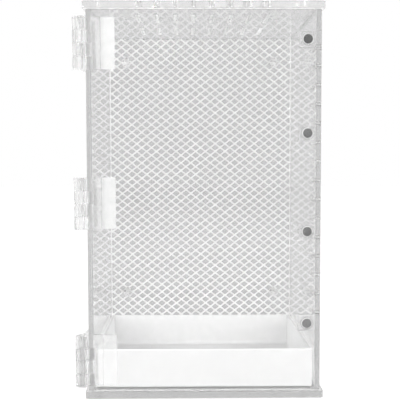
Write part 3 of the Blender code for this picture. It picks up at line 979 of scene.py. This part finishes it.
@dataclass
class ClimbingNet:
    """The diamond net on the back wall, at its full number of strands, and its rivets."""

    pitch_x: float = 0.157 / 15  # whole cells from rivet to rivet
    pitch_z: float = 0.245 / 30
    strand_width: float = 0.0017
    strand_depth: float = 0.0012
    knot_swell: float = 0.12
    sides: int = 8
    end_room: float = 0.0004  # from a strand's end to the next ring of points
    rivet_tail: tuple[Point, ...] = (  # (radius, height) from its tip
        (0.0022, 0.0), (0.0030, 0.0003), (0.0032, 0.0006), (0.0031, 0.0010), (0.0017, 0.0010),
    )
    rivet_head: tuple[Point, ...] = (  # the same from under the head, up to its pushed-in pin
        (0.0017, 0.0), (0.0046, 0.0), (0.0050, 0.0002), (0.0050, 0.0007), (0.0047, 0.0011),
        (0.0040, 0.0015), (0.0031, 0.0018), (0.0026, 0.0018), (0.0025, 0.0013),
        (0.0023, 0.0013), (0.0022, 0.0018), (0.0019, 0.0020),
    )
    rivet_steps: int = 9

    def strand(self, solid: Solid, net: Site, constant: int, rising: bool) -> None:
        """Add one strand from border to border.

        Args:
            solid: The net that it joins.
            net: The net's place.
            constant: The strand's odd number in its family.
            rising: True for the strands that rise to the right, which lie behind.
        """
        rise = self.pitch_z if rising else -self.pitch_z
        direction = Vector((self.pitch_x / 2, 0.0, rise / 2))
        reach = direction.length
        direction /= reach
        x, z = RIVET_PLACES[2]
        origin = Vector((x, 0.0, z + constant * self.pitch_z / 2))
        across = Vector((-direction.z, 0.0, direction.x))

        def span(offset: float) -> Point:
            """Find where a line along the strand enters and leaves the net.

            Args:
                offset: How far beside the strand's middle it runs.

            Returns:
                The two places, in metres along the strand.
            """
            spans = []
            for axis in (0, 2):
                begin = origin[axis] + across[axis] * offset
                edges = (net.low[axis], net.high[axis])
                spans.append(sorted((edge - begin) / direction[axis] for edge in edges))
            return max(spans[0][0], spans[1][0]), min(spans[0][1], spans[1][1])

        start, end = span(0.0)
        if end - start < self.strand_width:
            return
        back, half = self.strand_depth / 2, reach / 2
        middle_y = net.high.y - back if rising else net.low.y + back
        counts = range(math.ceil(start / half), math.floor(end / half) + 1)
        first, last = start + self.end_room, end - self.end_room
        rings = []
        between = [count * half for count in counts if first < count * half < last]
        for place in (start, *between, end):
            swell = 1 + self.knot_swell * math.cos(2 * math.pi * place / reach)
            ring = []
            for side in range(self.sides):
                angle = 2 * math.pi * (side + 0.5) / self.sides
                offset = math.cos(angle) * self.strand_width / 2 * swell
                enters, leaves = span(offset)
                along = {start: enters, end: leaves}.get(place, place)
                spot = origin + direction * along + across * offset
                x, z = (min(max(spot[axis], net.low[axis]), net.high[axis]) for axis in (0, 2))
                y = middle_y + math.sin(angle) * self.strand_depth / 2
                ring.append(solid.bm.verts.new((x, y, z)))
            rings.append(ring)
        for lower, upper in zip(rings, rings[1:]):
            solid.band(lower, upper)
        solid.bm.faces.new(rings[0])
        solid.bm.faces.new(rings[-1])

    def rivet(self, name: str) -> Mesh:
        """Make a snap rivet, from its tail to its crown.

        Args:
            name: The mesh's name.

        Returns:
            The mesh.
        """
        neck = Site("mesh_rivet_1").size.y - self.rivet_head[-1][1]
        head = tuple((radius, neck + height) for radius, height in self.rivet_head)
        turned = [(circle(r, steps=self.rivet_steps), 0.0, z) for r, z in self.rivet_tail + head]
        return loft(name, turned)

    def build(self) -> list[Piece]:
        """Make the net and its four rivets.

        Returns:
            The pieces.
        """
        site, solid = Site("climbing_mesh"), Solid()
        cells = math.ceil(site.size.z / self.pitch_z + site.size.x / self.pitch_x)
        for constant in range(-2 * cells - 1, 2 * cells + 1, 2):
            for rising in (True, False):
                self.strand(solid, site, constant, rising)
        net, place = solid.mesh("climbing_net"), (0, 0, 0)
        pieces = [put(net.name, net, place, Body.CABINET, (NET_WHITE,), nodes=[site.node])]
        for number in range(1, len(RIVET_PLACES) + 1):
            site, mesh = Site(f"mesh_rivet_{number}"), shared("snap_rivet", self.rivet)
            name = f"{site.node}_moulding"
            pieces.append(site.fill(name, mesh, Body.CABINET, (CLOUDY,), Facing.FRONT))
        return pieces


@dataclass
class SubstrateTray:
    """The loose white tray."""

    wall: float = 0.003
    corner_radius: float = 0.002
    foot: Corner = (0.0015, 4)  # the rounded edges under the tray, on its floor and on its rim
    floor: Corner = (0.003, 4)
    rim: Corner = (0.0008, 3)

    def build(self) -> list[Piece]:
        """Make the tray, drawn up outside, over its round rim and down to its floor.

        Returns:
            The piece, in a list.
        """
        site, wall = Site("substrate_tray"), self.wall
        outer, height = Outline(site.size.x, site.size.y, self.corner_radius), site.size.z
        under_rim = height - self.rim[0] - SUPPORT
        rim = [(inset, height - down) for inset, down in reversed(quarter(*self.rim))]
        outside = [*quarter(*self.foot), (0.0, self.foot[0] + SUPPORT), (0.0, under_rim), *rim]
        inside = [(wall - inset, level) for inset, level in reversed(rim)]
        inside += [(wall, under_rim), (wall, wall + self.floor[0] + SUPPORT)]
        inside += [(wall + inset, wall + up) for inset, up in reversed(quarter(*self.floor))]
        levels = [(outer, -inset, level) for inset, level in outside + inside]
        shell = loft("tray_shell", levels, len(inside))
        # the inside wears the painted-shade copy of the white
        return [site.fill(shell.name, shell, Body.TRAY, (TRAY_WHITE, TRAY_INSIDE_PAINTED_SHADE))]


# Studio


@dataclass(frozen=True)
class Lamp:
    """One soft, rectangular lamp."""

    name: str
    place: Place
    size: Point
    watts: float

    def hang(self, target: Vector) -> None:
        """Hang the lamp and turn it to its target.

        A lamp in front is mirrored in the model; one beside or behind it would glare in the
        slots, so it isn't.

        Args:
            target: The point that it shines on.
        """
        data = bpy.data.lights.new(self.name, "AREA")
        data.shape, data.energy = "RECTANGLE", self.watts
        data.size, data.size_y = self.size
        data.cycles.use_multiple_importance_sampling = False
        lamp = bpy.data.objects.new(self.name, data)
        bpy.context.scene.collection.objects.link(lamp)
        lamp.location = self.place
        lamp.visible_glossy = lamp.visible_transmission = self.place[1] < 0
        way = target - Vector(self.place)
        lamp.rotation_euler = way.to_track_quat("-Z", "Y").to_euler()


@dataclass
class Studio:
    """The camera of the photograph, a pale floor and soft lamps."""

    eye: Place = (-0.0151, -0.8776, 0.2058)
    turn: Place = (-3.78, -0.85, 0.12)  # pitch, yaw and roll in degrees
    lens: float = 81.6  # in millimetres, as the sensor's width
    sensor: float = 36.0
    rise: float = 0.05  # of the picture's middle, as a share of its width
    sight: Point = (0.01, 50.0)  # from where to where the camera sees
    backdrop: float = 1.0
    dark_side: float = 0.8  # of the room to the left and the right
    side_range: Point = (0.35, 0.85)  # how far aside it starts to darken, and is darkest
    floor_reach: float = 6.0
    floor_level: float = -0.0003
    floor_tones: Point = (0.030, 0.034)
    floor_clouds: float = 1.5  # per metre
    floor_roughness: float = 0.8
    floor_glows: Point = (0.84, 0.97)  # for other rays, and for the camera's own
    bounces: int = 40  # a sheet seen along its length passes light on this often
    target: Place = (0.0, 0.0, 0.17)  # of all lamps
    lamps: tuple[Lamp, ...] = (
        Lamp("left_lamp", (-1.5, -2.0, 0.85), (2.2, 1.6), 48.0),
        Lamp("right_lamp", (1.5, -2.0, 0.85), (2.2, 1.6), 46.0),
        Lamp("front_lamp", (0.0, -2.6, 1.1), (2.2, 1.2), 46.0),
        Lamp("left_fill", (-2.2, 0.0, 0.9), (1.8, 1.4), 60.0),
        Lamp("right_fill", (2.2, 0.0, 0.9), (1.8, 1.4), 60.0),
        Lamp("high_lamp", (0.0, -1.8, 2.3), (2.0, 2.0), 10.0),
        Lamp("rear_lamp", (0.0, 1.6, 1.4), (1.8, 1.6), 12.0),
    )

    def set_camera(self) -> None:
        """Stand the camera where the photograph's stood."""
        data = bpy.data.cameras.new("photo_camera")
        data.lens, data.sensor_width, data.shift_y = self.lens, self.sensor, self.rise
        data.clip_start, data.clip_end = self.sight
        camera = bpy.data.objects.new("photo_camera", data)
        bpy.context.scene.collection.objects.link(camera)
        camera.location = self.eye
        pitch, yaw, roll = (math.radians(angle) for angle in self.turn)
        turn = Euler((math.pi / 2 + pitch, 0.0, yaw)).to_matrix()
        camera.rotation_euler = (turn @ Euler((0.0, 0.0, -roll)).to_matrix()).to_euler()
        bpy.context.scene.camera = camera

    def lay_floor(self) -> None:
        """Lay the pale floor, which glows a little more where the camera sees it."""
        mesh = bpy.data.meshes.new("studio_floor")
        reach, level = self.floor_reach, self.floor_level
        mesh.from_pydata([(x * reach, y * reach, level) for x, y in CORNERS], [], [range(4)])
        floor = bpy.data.objects.new("studio_floor", mesh)
        bpy.context.scene.collection.objects.link(floor)
        shader = Shader("pale_studio_floor")
        seen = shader.add("LightPath").outputs["Is Camera Ray"]
        glows = {"Factor": seen, "A": self.floor_glows[0], "B": self.floor_glows[1]}
        lit = {
            "Base Color": shader.grey(shader.noise(self.floor_clouds), *self.floor_tones),
            "Roughness": self.floor_roughness,
            "Emission Color": (1, 1, 1, 1),
            "Emission Strength": shader.add("Mix", glows).outputs[0],
        }
        mesh.materials.append(shader.finish(shader.add("BsdfPrincipled", lit)))

    def whiten_room(self) -> None:
        """Surround the model with white, darker at both sides save where the camera looks."""
        world = bpy.data.worlds.new("white_studio")
        world.use_nodes = True
        nodes = NodeTree(world.node_tree)
        way = nodes.add("TexCoord").outputs["Generated"]
        across = nodes.add("SeparateXYZ", {0: way}).outputs["X"]
        aside = nodes.add("Math", {0: across}, operation="ABSOLUTE").outputs[0]
        around = nodes.ramp(aside, *self.side_range, self.backdrop, self.dark_side)
        seen = nodes.add("LightPath").outputs["Is Camera Ray"]
        glow = nodes.add("Mix", {"Factor": seen, "A": around, "B": self.backdrop})
        room = world.node_tree.nodes["Background"]
        room.inputs["Color"].default_value = (1, 1, 1, 1)
        world.node_tree.links.new(glow.outputs[0], room.inputs["Strength"])
        bpy.context.scene.world = world

    def set_light_paths(self) -> None:
        """Set how colours are shown and how often light is passed on."""
        scene = bpy.context.scene
        scene.view_settings.view_transform = "Standard"
        paths = scene.cycles
        paths.max_bounces = paths.glossy_bounces = paths.transmission_bounces = self.bounces
        paths.transparent_max_bounces = self.bounces
        paths.caustics_reflective = paths.caustics_refractive = False

    def build(self) -> None:
        """Set up the whole studio."""
        self.set_camera()
        self.lay_floor()
        for lamp in self.lamps:
            lamp.hang(Vector(self.target))
        self.whiten_room()
        self.set_light_paths()


def main() -> None:
    """Build the studio and every sub-assembly, and report each piece."""
    logging.basicConfig(level=logging.INFO, format="%(name)s: %(message)s")
    Studio().build()
    # The lowest hinge's barrels wear the painted-shade copy of the moulding.
    hinges = (Hinge(1, barrel=BARREL_PAINTED_SHADE, tape=WET_TAPE), Hinge(2), Hinge(3))
    for assembly in (
        Cabinet(), CementSeams(), MagnetCatch(), *hinges, ClimbingNet(), SubstrateTray(),
    ):
        for piece in assembly.build():
            kind, faces = type(assembly).__name__, len(piece.data.polygons)
            log.info("%s: %s, %d faces", kind, piece.name, faces)


if __name__ == "__main__":
    main()
